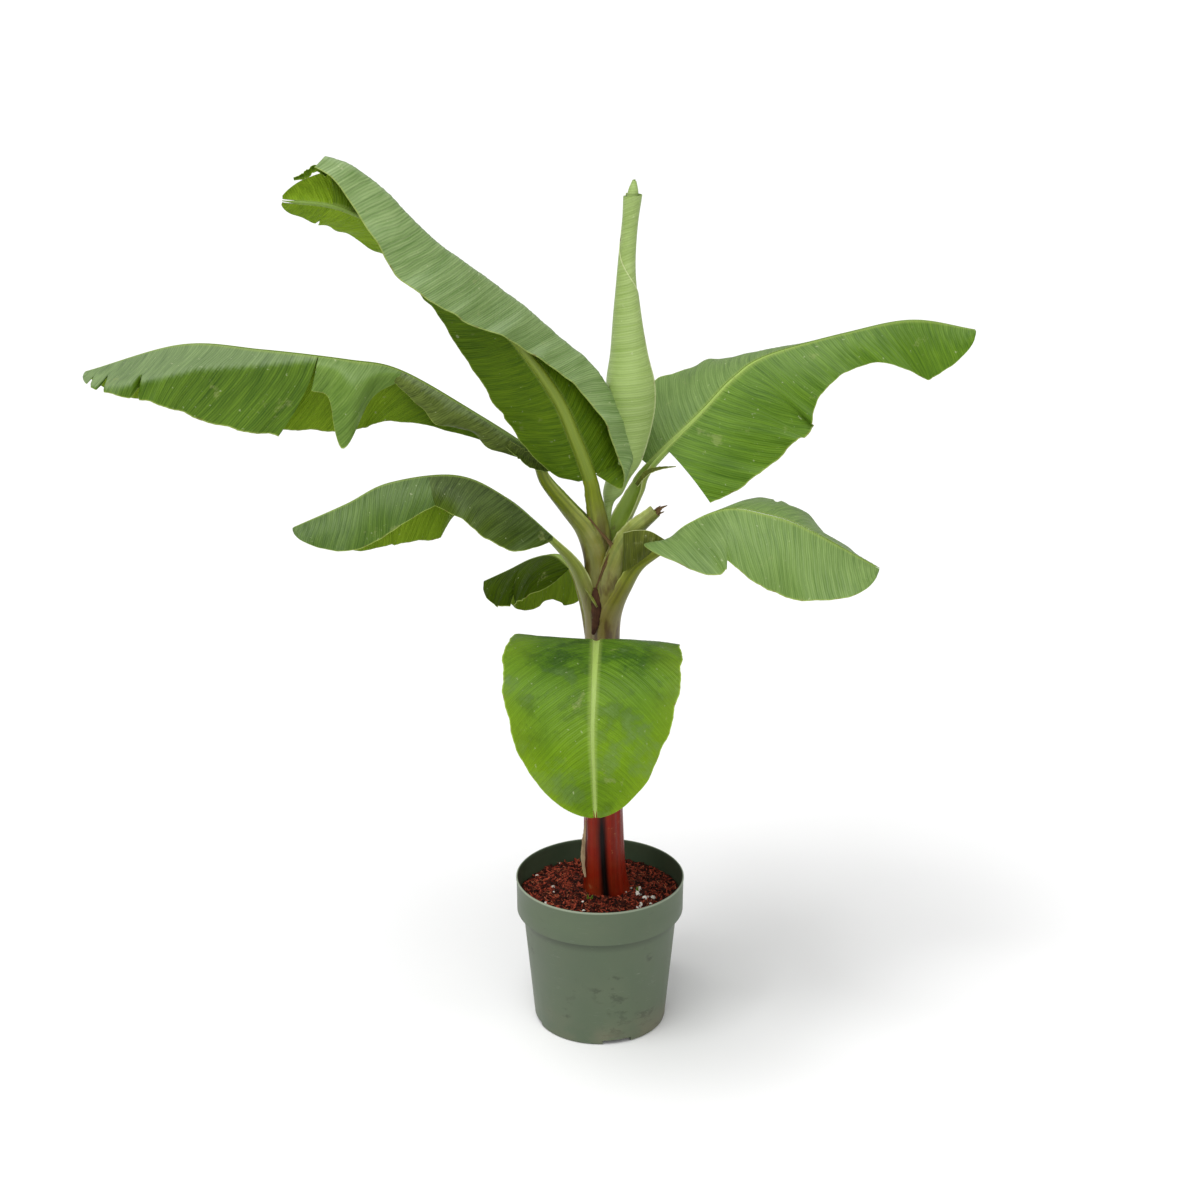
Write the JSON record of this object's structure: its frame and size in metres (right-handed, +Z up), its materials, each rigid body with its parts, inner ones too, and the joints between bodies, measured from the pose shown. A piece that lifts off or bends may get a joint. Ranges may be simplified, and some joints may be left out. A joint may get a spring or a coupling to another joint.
{
  "type": "potted banana plant",
  "caption": "Young banana plant with broad arching leaves, a rolled new leaf and a red-brown stem, in a round plastic nursery pot of soil.",
  "frame": {"origin": "centre of the pot's flat underside", "axes": "+Z up along the stem, +X along the spread of the longest leaves, -Y towards the side of the low front leaf"},
  "size_m": [1.2472, 0.5798, 1.307],
  "materials": {
    "pot": "satin grey-green moulded plastic, darker green inside",
    "soil": "red-brown coir and bark potting mix with white perlite",
    "pseudostem": "smooth mahogany-red sheaths with a dark gap and dry margins",
    "stalk": "smooth yellow-green leaf stalks and midribs",
    "cut_stalk": "grey-green cut stalk with a brown frayed end",
    "leaf": "satin green blades with close fine side veins, pale grey-green above and yellow-green where light comes through",
    "rolled_leaf": "pale green rolled blade with close fine veins"
  },
  "bodies": {
    "root": {"pot": "pot", "soil": "soil", "pseudostem": "pseudostem", "tall_leaf_stalk": "stalk", "long_left_leaf_stalk": "stalk", "mid_left_leaf_stalk": "stalk", "long_right_leaf_stalk": "stalk", "mid_right_leaf_stalk": "stalk", "back_leaf_stalk": "stalk", "front_leaf_stalk": "stalk", "rolled_leaf": "rolled_leaf", "cut_stalk": "cut_stalk", "tall_leaf_rib": "stalk", "long_left_leaf_rib": "stalk", "mid_left_leaf_rib": "stalk", "long_right_leaf_rib": "stalk", "mid_right_leaf_rib": "stalk", "back_leaf_rib": "stalk", "front_leaf_rib_upper": "stalk", "front_leaf_rib_lower": "stalk", "tall_leaf_upper_half": "leaf", "tall_leaf_upper_tip": "leaf", "tall_leaf_lower_half": "leaf", "long_left_leaf_near_inner": "leaf", "long_left_leaf_near_flap": "leaf", "long_left_leaf_near_outer": "leaf", "long_left_leaf_far_half": "leaf", "mid_left_leaf_near_inner": "leaf", "mid_left_leaf_near_outer": "leaf", "mid_left_leaf_far_half": "leaf", "long_right_leaf_near_half": "leaf", "long_right_leaf_far_half": "leaf", "mid_right_leaf_near_inner": "leaf", "mid_right_leaf_near_outer": "leaf", "mid_right_leaf_far_half": "leaf", "back_leaf_near_half": "leaf", "back_leaf_far_half": "leaf", "front_leaf_left_upper": "leaf", "front_leaf_left_lower": "leaf", "front_leaf_right_upper": "leaf", "front_leaf_right_lower": "leaf"}
  },
  "joints": []
}
